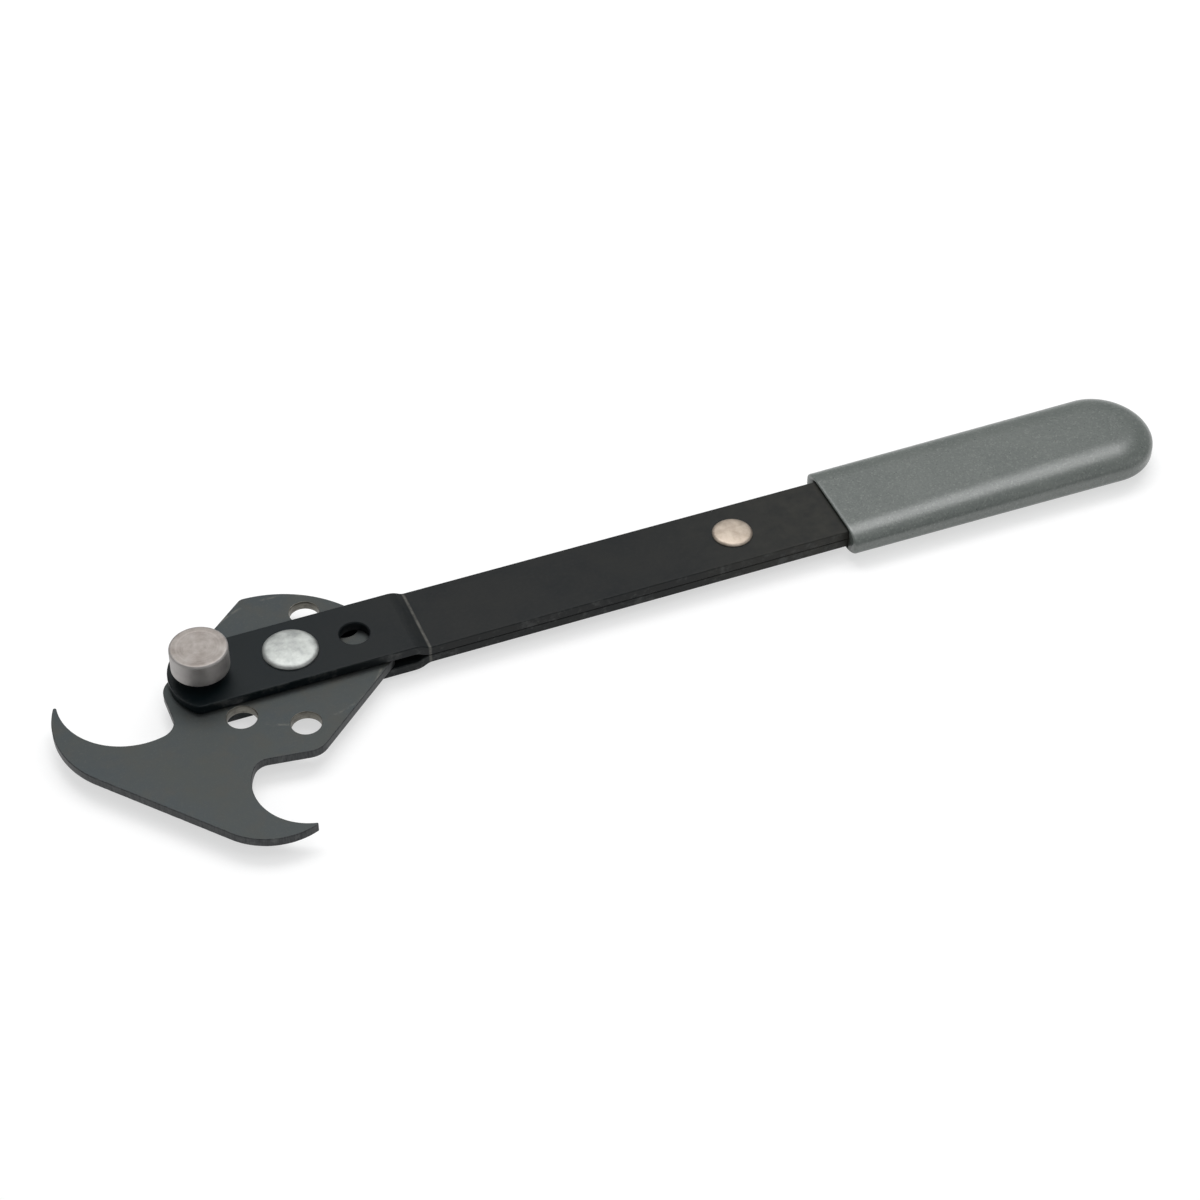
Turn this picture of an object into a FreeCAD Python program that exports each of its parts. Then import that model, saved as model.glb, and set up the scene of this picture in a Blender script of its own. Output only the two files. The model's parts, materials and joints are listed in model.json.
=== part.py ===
import FreeCAD, Part
import math
import os

os.makedirs("parts", exist_ok=True)

# Indexing double-hook seal puller.  Lengths in millimetres, angles in degrees.
# While it is modelled, X runs along the handle toward the grip, Z is up, and the
# hook head turns about the Z axis through 0, 0.  Z = 0 is the plane between the
# two handle straps.  The last lines move everything into the delivered frame.

# ---- delivered frame: middle of the overall length and width, lowest point ----
middle_x = 108.9
middle_y = -18.8
lowest_z = -6.4

# ---- handle straps: two equal flat bars, riveted face to face ----
strap_width = 25.4
strap_thick = 3.175
strap_tip_x = -37.5
strap_rear_x = 281.0
strap_tip_radius = 17.5
strap_tip_corner = 3.0
strap_rear_corner = 5.0
strap_edge_round = 0.4

# ---- joggle that opens the two straps into a fork round the hook head ----
joggle_start_x = 34.8
joggle_length = 5.5
joggle_step = 1.65

# ---- hook head, a flat plate with two barbed hooks ----
plate_thick = 3.0
plate_edge_break = 0.25
head_axis_angle = 220.8
plate_side = 27.4
plate_base = 67.7
rear_arc_centre = 9.0
rear_arc_radius = 36.2
rear_corner = 2.5
shoulder_radius = 7.0
shoulder_slope = 49.0

# large hook
heel_offset_1 = 24.2
heel_radius_1 = 29.6
sweep_centre_1 = (35.0, 35.1)
sweep_radius_1 = 21.15
gullet_radius_1 = 6.0
gullet_depth_1 = 15.6
tip_nose_1 = 0.55

# small hook
heel_offset_2 = 21.5
heel_radius_2 = 21.3
sweep_centre_2 = (38.8, 30.9)
sweep_radius_2 = 17.4
gullet_radius_2 = 5.0
gullet_depth_2 = 13.9
tip_nose_2 = 0.4

# ---- index holes ----
index_step = 20.4
index_hole_dia = 9.2
strap_hole_break = 0.3
outer_circle = 27.5
inner_circle = 20.1

# ---- pivot rivet ----
pivot_dia = 10.0
pivot_bore_dia = 10.1
pivot_head_dia = 17.1
pivot_head_rim = 0.7
pivot_head_dome = 0.875
pivot_crown_dia = 9.0
rivet_crown_dia = 2.0
rivet_dome_fullness = 0.72

# ---- rivets that hold the two straps together ----
handle_rivet_x = 144.4
handle_rivet_dia = 7.0
handle_head_dia = 12.8
handle_head_rim = 0.5
handle_head_dome = 0.7
rear_rivet_x = 262.0
rear_rivet_dia = 6.0
rear_head_dia = 10.5
rear_head_rim = 0.5
rear_head_dome = 0.5

# ---- index pin and its knob, drawn up so that the pin just clears the head ----
pin_dia = 9.06
pin_tip_gap = 0.15
pin_tip_chamfer = 0.6
pin_in_knob = 5.2
knob_dia = 17.6
knob_height = 8.1
knob_stand_off = 3.6
knob_top_round = 0.9
knob_bottom_round = 0.4

# ---- moulded grip, open at the bar and closed at the far end ----
grip_start_x = 178.5
grip_cap_x = 274.6
grip_end_x = 292.0
grip_half_width_start = 18.2
grip_half_width_end = 18.3
grip_half_thick_start = 4.58
grip_half_thick_end = 6.4
grip_round_start = 7.6
grip_round_end = 10.8
grip_flatness = 2.0
grip_mouth_gap = 0.5
grip_mouth_depth = 3.0
grip_lip_round = 1.0
rivet_pocket_gap = 0.1
grip_seat_overlap = 8.0

# ---- helpers: how far a cutting shape reaches past what it cuts, and a small length ----
overrun = 5.0
hair = 0.1


def vec(x, y, z=0.0):
    return FreeCAD.Vector(x, y, z)


def polar(centre, radius, angle):
    a = math.radians(angle)
    return (centre[0] + radius * math.cos(a), centre[1] + radius * math.sin(a))


def line(p, q):
    return Part.LineSegment(p, q).toShape()


def arc(p, m, q):
    return Part.Arc(p, m, q).toShape()


def cylinder(radius, z_low, z_high, x=0.0, y=0.0):
    return Part.makeCylinder(radius, z_high - z_low, vec(x, y, z_low))


# =====================================================================
# Straps
# =====================================================================
half_width = strap_width / 2.0
bend_angle = 2.0 * math.degrees(math.atan(joggle_step / joggle_length))
bend_radius = joggle_length / (2.0 * math.sin(math.radians(bend_angle)))
joggle_end_x = joggle_start_x + joggle_length
fork_inner = joggle_step
fork_outer = joggle_step + strap_thick


def joggle_curve(offset):
    """Two equal arcs that lead a surface from the fork level down to the bar."""
    fork_mid = joggle_step + strap_thick / 2.0
    bar_mid = strap_thick / 2.0
    c1 = (joggle_start_x, fork_mid - bend_radius)
    c2 = (joggle_end_x, bar_mid + bend_radius)
    r1 = bend_radius + offset
    r2 = bend_radius - offset
    a = polar(c1, r1, 90.0)
    b = polar(c1, r1, 90.0 - bend_angle / 2.0)
    c = polar(c1, r1, 90.0 - bend_angle)
    d = polar(c2, r2, 270.0 - bend_angle / 2.0)
    e = polar(c2, r2, 270.0)
    return [vec(p[0], 0.0, p[1]) for p in (a, b, c, d, e)]


def strap_section():
    """Side view of the upper strap, from beyond the tip to the rear end."""
    top = joggle_curve(strap_thick / 2.0)
    low = joggle_curve(-strap_thick / 2.0)
    front = strap_tip_x - overrun
    edges = [
        line(vec(front, 0, fork_outer), top[0]),
        arc(top[0], top[1], top[2]),
        arc(top[2], top[3], top[4]),
        line(top[4], vec(strap_rear_x, 0, strap_thick)),
        line(vec(strap_rear_x, 0, strap_thick), vec(strap_rear_x, 0, 0)),
        line(vec(strap_rear_x, 0, 0), low[4]),
        arc(low[4], low[3], low[2]),
        arc(low[2], low[1], low[0]),
        line(low[0], vec(front, 0, fork_inner)),
        line(vec(front, 0, fork_inner), vec(front, 0, fork_outer)),
    ]
    return Part.Face(Part.Wire(edges))


def is_upright(edge):
    """True for a straight edge that only runs up and down."""
    box = edge.BoundBox
    return box.XLength < hair and box.YLength < hair and box.ZLength > hair


def strap_plan():
    """Top view of a strap: a shallow round nose, and a rounded rear end."""
    nose_x = strap_tip_x + strap_tip_radius
    tip_x = nose_x - math.sqrt(strap_tip_radius ** 2 - half_width ** 2)
    edges = [
        arc(vec(tip_x, -half_width), vec(strap_tip_x, 0), vec(tip_x, half_width)),
        line(vec(tip_x, half_width), vec(strap_rear_x, half_width)),
        line(vec(strap_rear_x, half_width), vec(strap_rear_x, -half_width)),
        line(vec(strap_rear_x, -half_width), vec(tip_x, -half_width)),
    ]
    plan = Part.Face(Part.Wire(edges)).extrude(vec(0, 0, 4.0 * overrun))
    plan.translate(vec(0, 0, -2.0 * overrun))
    tip_edges = [e for e in plan.Edges if is_upright(e) and e.BoundBox.XMax < 0.0]
    plan = plan.makeFillet(strap_tip_corner, tip_edges)
    rear_edges = [e for e in plan.Edges if is_upright(e) and e.BoundBox.XMin > strap_rear_x - hair]
    return plan.makeFillet(strap_rear_corner, rear_edges)


def upper_strap():
    side = strap_section().extrude(vec(0, strap_width + 2.0 * overrun, 0))
    side.translate(vec(0, -half_width - overrun, 0))
    strap = side.common(strap_plan())

    # every long edge is rounded; of the edges across the bar, only the rear ones
    rim = []
    for e in strap.Edges:
        box = e.BoundBox
        across = box.YLength > strap_width - 1.0 and box.XLength < hair
        at_rear = box.XMax > strap_rear_x - hair
        upright = box.ZLength > strap_thick - hair and box.XLength < hair
        if (across and at_rear) or not (across or upright):
            rim.append(e)
    strap = strap.makeFillet(strap_edge_round, rim)

    holes = (
        (pivot_dia, 0.0),
        (index_hole_dia, -outer_circle),
        (index_hole_dia, inner_circle),
        (handle_rivet_dia, handle_rivet_x),
        (rear_rivet_dia, rear_rivet_x),
    )
    for dia, x in holes:
        strap = strap.cut(cylinder(dia / 2.0, -overrun, 2.0 * overrun, x))

    # lead-in round the two holes that take the index pin
    for x in (-outer_circle, inner_circle):
        low_r = index_hole_dia / 2.0
        rise = 2.0 * strap_hole_break
        cone = Part.makeCone(low_r, low_r + rise, rise, vec(x, 0, fork_outer - strap_hole_break))
        strap = strap.cut(cone)
    return strap.Solids[0]


upper = upper_strap()
lower = upper.mirror(vec(0, 0, 0), vec(0, 0, 1))

# =====================================================================
# Hook head.  Outline in the plate's own axes: u along its centre line,
# away from the pivot, and w across it.
# =====================================================================


def hook_side(heel_w, heel_r, sweep_c, sweep_r, gullet_r, gullet_w, nose_r):
    """Points of one half of the outline, from the base line to the rear corner."""
    heel_c = (plate_base - heel_r, heel_w)
    base = (plate_base, heel_w)

    # barb: a small nose circle inside the heel circle and outside the sweep
    apart = math.hypot(sweep_c[0] - heel_c[0], sweep_c[1] - heel_c[1])
    e_u = (sweep_c[0] - heel_c[0]) / apart
    e_w = (sweep_c[1] - heel_c[1]) / apart
    from_heel = heel_r - nose_r
    from_sweep = sweep_r + nose_r
    along = (from_heel ** 2 - from_sweep ** 2 + apart ** 2) / (2.0 * apart)
    off = math.sqrt(from_heel ** 2 - along ** 2)
    nose_c = (heel_c[0] + along * e_u + off * e_w, heel_c[1] + along * e_w - off * e_u)
    out_dir = math.degrees(math.atan2(nose_c[1] - heel_c[1], nose_c[0] - heel_c[0]))
    in_dir = math.degrees(math.atan2(nose_c[1] - sweep_c[1], nose_c[0] - sweep_c[0]))
    heel_mid = polar(heel_c, heel_r, out_dir / 2.0)
    tip_out = polar(heel_c, heel_r, out_dir)
    nose = polar(nose_c, nose_r, (out_dir + in_dir + 180.0) / 2.0)
    tip_in = polar(sweep_c, sweep_r, in_dir)

    # the gullet circle touches the sweep from inside and stops at gullet_w
    gc_w = gullet_w + gullet_r
    reach = sweep_r - gullet_r
    gc_u = sweep_c[0] + math.sqrt(reach ** 2 - (sweep_c[1] - gc_w) ** 2)
    gc = (gc_u, gc_w)
    beta = math.degrees(math.atan2(gc[1] - sweep_c[1], gc[0] - sweep_c[0]))
    g_start = polar(sweep_c, sweep_r, beta)
    sweep_mid = polar(sweep_c, sweep_r, (beta + in_dir) / 2.0)
    slope_dir = 180.0 + (90.0 - shoulder_slope)
    g_end = polar(gc, gullet_r, slope_dir)
    g_mid = polar(gc, gullet_r, (beta + slope_dir - 360.0) / 2.0)

    # straight slope up to the rounded shoulder on the plate's side
    s = math.radians(shoulder_slope)
    run = (plate_side - g_end[1]) / math.sin(s)
    corner_u = g_end[0] - run * math.cos(s)
    tangent = shoulder_radius * math.tan(s / 2.0)
    sh_1 = (corner_u + tangent * math.cos(s), plate_side - tangent * math.sin(s))
    sh_2 = (corner_u - tangent, plate_side)
    sh_c = (sh_2[0], plate_side - shoulder_radius)
    sh_m = polar(sh_c, shoulder_radius, 90.0 - shoulder_slope / 2.0)

    # small corner between the side and the rear arc
    rise = plate_side - rear_corner
    fc_u = rear_arc_centre - math.sqrt((rear_arc_radius - rear_corner) ** 2 - rise ** 2)
    fc = (fc_u, rise)
    turn = math.degrees(math.atan2(rise, fc_u - rear_arc_centre))
    rc_1 = (fc_u, plate_side)
    rc_2 = polar((rear_arc_centre, 0.0), rear_arc_radius, turn)
    rc_m = polar(fc, rear_corner, (90.0 + turn) / 2.0)
    return {
        "base": base, "heel_mid": heel_mid, "tip_out": tip_out, "nose": nose,
        "tip_in": tip_in, "sweep_mid": sweep_mid, "g_start": g_start,
        "g_mid": g_mid, "g_end": g_end, "sh_1": sh_1, "sh_m": sh_m, "sh_2": sh_2,
        "rc_1": rc_1, "rc_m": rc_m, "rc_2": rc_2,
    }


def side_edges(pts, sign):
    """Edges of one half, with w mirrored for the large hook's side."""
    p = {}
    for name in pts:
        p[name] = vec(pts[name][0], sign * pts[name][1])
    return [
        arc(p["base"], p["heel_mid"], p["tip_out"]),
        arc(p["tip_out"], p["nose"], p["tip_in"]),
        arc(p["tip_in"], p["sweep_mid"], p["g_start"]),
        arc(p["g_start"], p["g_mid"], p["g_end"]),
        line(p["g_end"], p["sh_1"]),
        arc(p["sh_1"], p["sh_m"], p["sh_2"]),
        line(p["sh_2"], p["rc_1"]),
        arc(p["rc_1"], p["rc_m"], p["rc_2"]),
    ]


def hook_plate():
    big = hook_side(heel_offset_1, heel_radius_1, sweep_centre_1, sweep_radius_1,
                    gullet_radius_1, gullet_depth_1, tip_nose_1)
    small = hook_side(heel_offset_2, heel_radius_2, sweep_centre_2, sweep_radius_2,
                      gullet_radius_2, gullet_depth_2, tip_nose_2)
    edges = side_edges(big, -1.0) + side_edges(small, 1.0)
    rear_big = vec(big["rc_2"][0], -big["rc_2"][1])
    rear_small = vec(small["rc_2"][0], small["rc_2"][1])
    rear_mid = vec(rear_arc_centre - rear_arc_radius, 0)
    edges.append(arc(rear_big, rear_mid, rear_small))
    base_big = vec(big["base"][0], -big["base"][1])
    base_small = vec(small["base"][0], small["base"][1])
    edges.append(line(base_big, base_small))
    wire = Part.Wire(Part.__sortEdges__(edges))
    plate = Part.Face(wire).extrude(vec(0, 0, plate_thick))
    plate.translate(vec(0, 0, -plate_thick / 2.0))
    rim = []
    for e in plate.Edges:
        if e.BoundBox.ZLength < hair:
            rim.append(e)
    plate = plate.makeChamfer(plate_edge_break, rim)
    plate.rotate(vec(0, 0, 0), vec(0, 0, 1), head_axis_angle)
    plate = plate.cut(cylinder(pivot_bore_dia / 2.0, -overrun, overrun))

    # outer circle of holes for the pin at the nose, inner circle for the one behind
    spots = []
    for i in (0, 2, 4):
        spots.append((outer_circle, 180.0 + i * index_step))
    for i in (1, 3):
        spots.append((inner_circle, i * index_step))
    for radius, angle in spots:
        c = polar((0.0, 0.0), radius, angle)
        plate = plate.cut(cylinder(index_hole_dia / 2.0, -overrun, overrun, c[0], c[1]))
    return plate.Solids[0]


head = hook_plate()

# =====================================================================
# Rivets: shank with a low domed head at each end
# =====================================================================


def rivet_half(shank_r, head_r, seat_z, rim, dome, crown_r):
    """Upper half of a rivet, revolved about Z: shank, rim, dome and flat crown."""
    top = seat_z + rim + dome
    mid_r = (head_r + crown_r) / 2.0
    mid_z = seat_z + rim + dome * rivet_dome_fullness
    edges = [
        line(vec(0, 0, 0), vec(shank_r, 0, 0)),
        line(vec(shank_r, 0, 0), vec(shank_r, 0, seat_z)),
        line(vec(shank_r, 0, seat_z), vec(head_r, 0, seat_z)),
        line(vec(head_r, 0, seat_z), vec(head_r, 0, seat_z + rim)),
        arc(vec(head_r, 0, seat_z + rim), vec(mid_r, 0, mid_z), vec(crown_r, 0, top)),
        line(vec(crown_r, 0, top), vec(0, 0, top)),
        line(vec(0, 0, top), vec(0, 0, 0)),
    ]
    face = Part.Face(Part.Wire(edges))
    return face.revolve(vec(0, 0, 0), vec(0, 0, 1), 360)


def rivet(x, shank_d, head_d, seat_z, rim, dome, crown_top, crown_bottom):
    up = rivet_half(shank_d / 2.0, head_d / 2.0, seat_z, rim, dome, crown_top / 2.0)
    down = rivet_half(shank_d / 2.0, head_d / 2.0, seat_z, rim, dome, crown_bottom / 2.0)
    down = down.mirror(vec(0, 0, 0), vec(0, 0, 1))
    whole = up.fuse(down).removeSplitter()
    whole.translate(vec(x, 0, 0))
    return whole.Solids[0]


pivot = rivet(0.0, pivot_dia, pivot_head_dia, fork_outer, pivot_head_rim,
              pivot_head_dome, rivet_crown_dia, pivot_crown_dia)
handle_rivet = rivet(handle_rivet_x, handle_rivet_dia, handle_head_dia, strap_thick,
                     handle_head_rim, handle_head_dome, rivet_crown_dia, rivet_crown_dia)
rear_rivet = rivet(rear_rivet_x, rear_rivet_dia, rear_head_dia, strap_thick,
                   rear_head_rim, rear_head_dome, rivet_crown_dia, rivet_crown_dia)

# =====================================================================
# Index pin and knob
# =====================================================================
pin_low = plate_thick / 2.0 + pin_tip_gap
knob_low = fork_outer + knob_stand_off
knob_top = knob_low + knob_height
pin_top = knob_low + pin_in_knob

pin = cylinder(pin_dia / 2.0, pin_low, pin_top, -outer_circle)
pin = pin.makeChamfer(pin_tip_chamfer, [e for e in pin.Edges if e.BoundBox.ZMax < pin_low + hair])

knob = cylinder(knob_dia / 2.0, knob_low, knob_top, -outer_circle)
knob = knob.makeFillet(knob_top_round, [e for e in knob.Edges if e.BoundBox.ZMin > knob_top - hair])
knob = knob.makeFillet(knob_bottom_round, [e for e in knob.Edges if e.BoundBox.ZMax < knob_low + hair])
knob = knob.cut(cylinder(pin_dia / 2.0, knob_low - overrun, pin_top, -outer_circle))

# =====================================================================
# Grip
# =====================================================================


def rounded_section(x, half_w, half_t, r):
    """Cross-section at x: a rectangle with round corners, before it is flattened."""
    k = r * (1.0 - math.sqrt(0.5))
    y0 = half_w - r
    z0 = half_t - r
    e = [
        line(vec(x, -y0, half_t), vec(x, y0, half_t)),
        arc(vec(x, y0, half_t), vec(x, half_w - k, half_t - k), vec(x, half_w, z0)),
        line(vec(x, half_w, z0), vec(x, half_w, -z0)),
        arc(vec(x, half_w, -z0), vec(x, half_w - k, -half_t + k), vec(x, y0, -half_t)),
        line(vec(x, y0, -half_t), vec(x, -y0, -half_t)),
        arc(vec(x, -y0, -half_t), vec(x, -half_w + k, -half_t + k), vec(x, -half_w, -z0)),
        line(vec(x, -half_w, -z0), vec(x, -half_w, z0)),
        arc(vec(x, -half_w, z0), vec(x, -half_w + k, half_t - k), vec(x, -y0, half_t)),
    ]
    return Part.Wire(e)


def cap_solid():
    """Closed end of the grip: half an ellipse in plan, not yet flattened."""
    b = grip_half_width_end
    start = grip_cap_x - grip_seat_overlap
    # the ellipse's long axis lies across the handle
    oval = Part.Ellipse(vec(grip_cap_x, b), vec(grip_end_x, 0), vec(grip_cap_x, 0))
    edges = [
        line(vec(start, -b), vec(grip_cap_x, -b)),
        oval.toShape(0.0, math.pi),
        line(vec(grip_cap_x, b), vec(start, b)),
        line(vec(start, b), vec(start, -b)),
    ]
    plan = Part.Face(Part.Wire(Part.__sortEdges__(edges)))
    tall = grip_flatness * grip_half_thick_end
    cap = plan.extrude(vec(0, 0, 2.0 * tall))
    cap.translate(vec(0, 0, -tall))
    rim = []
    for e in cap.Edges:
        box = e.BoundBox
        if box.ZLength < hair and box.XMax > start + hair:
            rim.append(e)
    cap = cap.makeFillet(grip_round_end, rim)
    keep = Part.makeBox(grip_end_x, 4.0 * b, 4.0 * tall, vec(grip_cap_x, -2.0 * b, -2.0 * tall))
    return cap.common(keep)


def grip_body():
    # made taller by grip_flatness with plain rounds, then flattened, so that the
    # rounds become half-ovals that are wider across the grip than they are high
    first = rounded_section(grip_start_x, grip_half_width_start,
                            grip_flatness * grip_half_thick_start, grip_round_start)
    last = rounded_section(grip_cap_x, grip_half_width_end,
                           grip_flatness * grip_half_thick_end, grip_round_end)
    body = Part.makeLoft([first, last], True, True)
    lip = [e for e in body.Edges if e.BoundBox.XMax < grip_start_x + hair]
    body = body.makeFillet(grip_lip_round, lip)
    whole = body.fuse(cap_solid())
    flatten = FreeCAD.Matrix()
    flatten.scale(1.0, 1.0, 1.0 / grip_flatness)
    whole = whole.transformGeometry(flatten)

    # moulded round the straps, with a short stand-off at the mouth
    slab = Part.makeBox(grip_end_x, 2.0 * strap_width, 2.0 * strap_thick,
                        vec(grip_start_x - overrun, -strap_width, -strap_thick))
    whole = whole.cut(strap_plan().common(slab))
    g = grip_mouth_gap
    mouth = Part.makeBox(grip_mouth_depth + overrun, strap_width + 2.0 * g,
                         2.0 * (strap_thick + g),
                         vec(grip_start_x - overrun, -half_width - g, -strap_thick - g))
    whole = whole.cut(mouth)
    head_z = strap_thick + rear_head_rim + rear_head_dome + rivet_pocket_gap
    pocket = cylinder(rear_head_dia / 2.0 + rivet_pocket_gap, -head_z, head_z, rear_rivet_x)
    whole = whole.cut(pocket)
    return whole.Solids[0]


grip = grip_body()

# =====================================================================
# Write one file per piece
# =====================================================================
pieces = [
    ("hook_plate", head),
    ("upper_strap", upper),
    ("lower_strap", lower),
    ("pivot_rivet", pivot),
    ("handle_rivet", handle_rivet),
    ("rear_rivet", rear_rivet),
    ("index_pin", pin),
    ("index_knob", knob),
    ("grip", grip),
]
whole_box = FreeCAD.BoundBox()
for name, shape in pieces:
    moved = shape.Solids[0].copy()
    moved.translate(vec(-middle_x, -middle_y, -lowest_z))
    moved.exportStep("parts/" + name + ".step")
    box = moved.optimalBoundingBox()
    print(name, moved.isValid(), moved.ShapeType, "volume", round(moved.Volume, 1),
          "x", round(box.XMin, 2), round(box.XMax, 2),
          "y", round(box.YMin, 2), round(box.YMax, 2),
          "z", round(box.ZMin, 2), round(box.ZMax, 2))
    whole_box.add(box)
print("overall", round(whole_box.XMin, 2), round(whole_box.XMax, 2),
      round(whole_box.YMin, 2), round(whole_box.YMax, 2),
      round(whole_box.ZMin, 2), round(whole_box.ZMax, 2))
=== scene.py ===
import json
import math

import bmesh
import bpy
from mathutils import Matrix, Vector, noise


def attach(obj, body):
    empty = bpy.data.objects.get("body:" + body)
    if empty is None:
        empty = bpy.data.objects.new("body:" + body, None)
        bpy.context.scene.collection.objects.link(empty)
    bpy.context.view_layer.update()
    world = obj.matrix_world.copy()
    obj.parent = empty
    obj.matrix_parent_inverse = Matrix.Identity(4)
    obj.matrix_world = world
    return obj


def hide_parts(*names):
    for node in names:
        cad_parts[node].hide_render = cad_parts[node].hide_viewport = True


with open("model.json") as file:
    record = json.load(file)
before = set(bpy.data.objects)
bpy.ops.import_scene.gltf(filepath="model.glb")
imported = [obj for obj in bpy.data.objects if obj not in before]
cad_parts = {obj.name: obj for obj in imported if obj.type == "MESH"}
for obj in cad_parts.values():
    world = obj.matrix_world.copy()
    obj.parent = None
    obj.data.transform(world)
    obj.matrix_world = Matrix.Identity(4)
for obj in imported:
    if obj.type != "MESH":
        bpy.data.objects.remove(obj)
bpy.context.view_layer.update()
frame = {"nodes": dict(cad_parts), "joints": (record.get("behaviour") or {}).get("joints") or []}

MM = 0.001
NODES = frame["nodes"]
PIVOT = Vector([j for j in frame["joints"] if j["name"] == "head_pivot"][0]["pos_m"])

# sizes shared with the CAD, in millimetres; x is measured from the pivot
BAR_HALF = 12.7                    # half the width of a bar
CREASE_X = 39.7                    # where the fork has closed on to the other bar
BAR_RIVET_X = 144.4
PIVOT_HEAD_R, BAR_HEAD_R = 8.55, 6.4
PIN_X = -27.5                      # index pin and its knob
OUTER_CIRCLE, INNER_CIRCLE = 27.5, 20.1
INDEX_STEP = 20.4                  # degrees from one index position to the next
BORE_R, INDEX_R = 5.05, 4.6        # holes in the hook plate


def at(x, y, z=0.0):
    """A point in millimetres from the pivot, as a point in the row frame."""
    return PIVOT + Vector((x, y, z)) * MM


def wave(p, size, seed=0.0):
    """Smooth seeded noise from -1 to 1; size is its grain, in the units of p."""
    return noise.noise(Vector(p) / size + Vector((seed, 1.7 * seed, -seed)))


# ---------------------------------------------------------------- materials
# in a shader, lengths are in metres and colours are linear red, green and blue
class Shader:
    """A Principled material with short calls for the nodes it needs."""

    def __init__(self, name, **values):
        self.mat = bpy.data.materials.new(name)
        self.mat.use_nodes = True
        self.tree = self.mat.node_tree
        self.bsdf = self.tree.nodes["Principled BSDF"]
        for key, value in values.items():
            self.bsdf.inputs[key.replace("_", " ")].default_value = value
        self.coord = self.tree.nodes.new("ShaderNodeTexCoord").outputs["Object"]

    def link(self, source, socket):
        self.tree.links.new(source, socket)

    def put(self, socket, value):
        if isinstance(value, (int, float, tuple)):
            socket.default_value = value
        else:
            self.link(value, socket)

    def stretch(self, scale, rotation=0.0, origin=(0, 0, 0)):
        """Object coordinates, moved to origin, turned about Z, then scaled."""
        move = self.tree.nodes.new("ShaderNodeMapping")
        move.vector_type = "TEXTURE"
        move.inputs["Location"].default_value = origin
        move.inputs["Rotation"].default_value = (0, 0, rotation)
        self.link(self.coord, move.inputs["Vector"])
        grow = self.tree.nodes.new("ShaderNodeMapping")
        grow.inputs["Scale"].default_value = scale
        self.link(move.outputs["Vector"], grow.inputs["Vector"])
        return grow.outputs["Vector"]

    def noise(self, grain, detail=3.0, rough=0.55, vector=None):
        """Noise with its grain in metres, or as the given vector is stretched if grain is 0."""
        n = self.tree.nodes.new("ShaderNodeTexNoise")
        n.inputs["Scale"].default_value = 1.0 / grain if grain else 1.0
        n.inputs["Detail"].default_value = detail
        n.inputs["Roughness"].default_value = rough
        self.link(vector if vector is not None else self.coord, n.inputs["Vector"])
        return n.outputs["Fac"]

    def cells(self, grain, feature="F1", output="Distance"):
        n = self.tree.nodes.new("ShaderNodeTexVoronoi")
        n.feature = feature
        n.inputs["Scale"].default_value = 1.0 / grain
        self.link(self.coord, n.inputs["Vector"])
        return n.outputs[output]

    def math(self, op, a, b=0.0):
        n = self.tree.nodes.new("ShaderNodeMath")
        n.operation = op
        self.put(n.inputs[0], a)
        self.put(n.inputs[1], b)
        return n.outputs[0]

    def fit(self, value, low, high, to_low=0.0, to_high=1.0):
        """value remapped from low..high to to_low..to_high, and clamped."""
        n = self.tree.nodes.new("ShaderNodeMapRange")
        n.clamp = True
        self.put(n.inputs["Value"], value)
        n.inputs["From Min"].default_value = low
        n.inputs["From Max"].default_value = high
        n.inputs["To Min"].default_value = to_low
        n.inputs["To Max"].default_value = to_high
        return n.outputs["Result"]

    def mix(self, factor, a, b):
        n = self.tree.nodes.new("ShaderNodeMix")
        n.data_type = "RGBA"
        self.put(n.inputs["Factor"], factor)
        self.put(n.inputs[6], a if not isinstance(a, tuple) else (*a, 1.0))
        self.put(n.inputs[7], b if not isinstance(b, tuple) else (*b, 1.0))
        return n.outputs[2]

    def axes(self, origin=(0, 0, 0)):
        """x, y and z of the object coordinates, measured from origin."""
        n = self.tree.nodes.new("ShaderNodeSeparateXYZ")
        self.link(self.stretch((1, 1, 1), origin=origin), n.inputs[0])
        return n.outputs[0], n.outputs[1], n.outputs[2]

    def radius(self, origin):
        """Distance from a vertical line through origin."""
        x, y, _ = self.axes(origin)
        return self.math("SQRT", self.math("ADD", self.math("MULTIPLY", x, x),
                                           self.math("MULTIPLY", y, y)))

    def colour(self, value):
        self.link(value, self.bsdf.inputs["Base Color"])

    def rough(self, value):
        self.link(value, self.bsdf.inputs["Roughness"])

    def bump(self, *layers):
        """Each layer is (height, depth in metres, strength)."""
        last = None
        for height, depth, strength in layers:
            n = self.tree.nodes.new("ShaderNodeBump")
            n.inputs["Distance"].default_value = depth
            n.inputs["Strength"].default_value = strength
            self.link(height, n.inputs["Height"])
            if last is not None:
                self.link(last, n.inputs["Normal"])
            last = n.outputs["Normal"]
        self.link(last, self.bsdf.inputs["Normal"])


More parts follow.
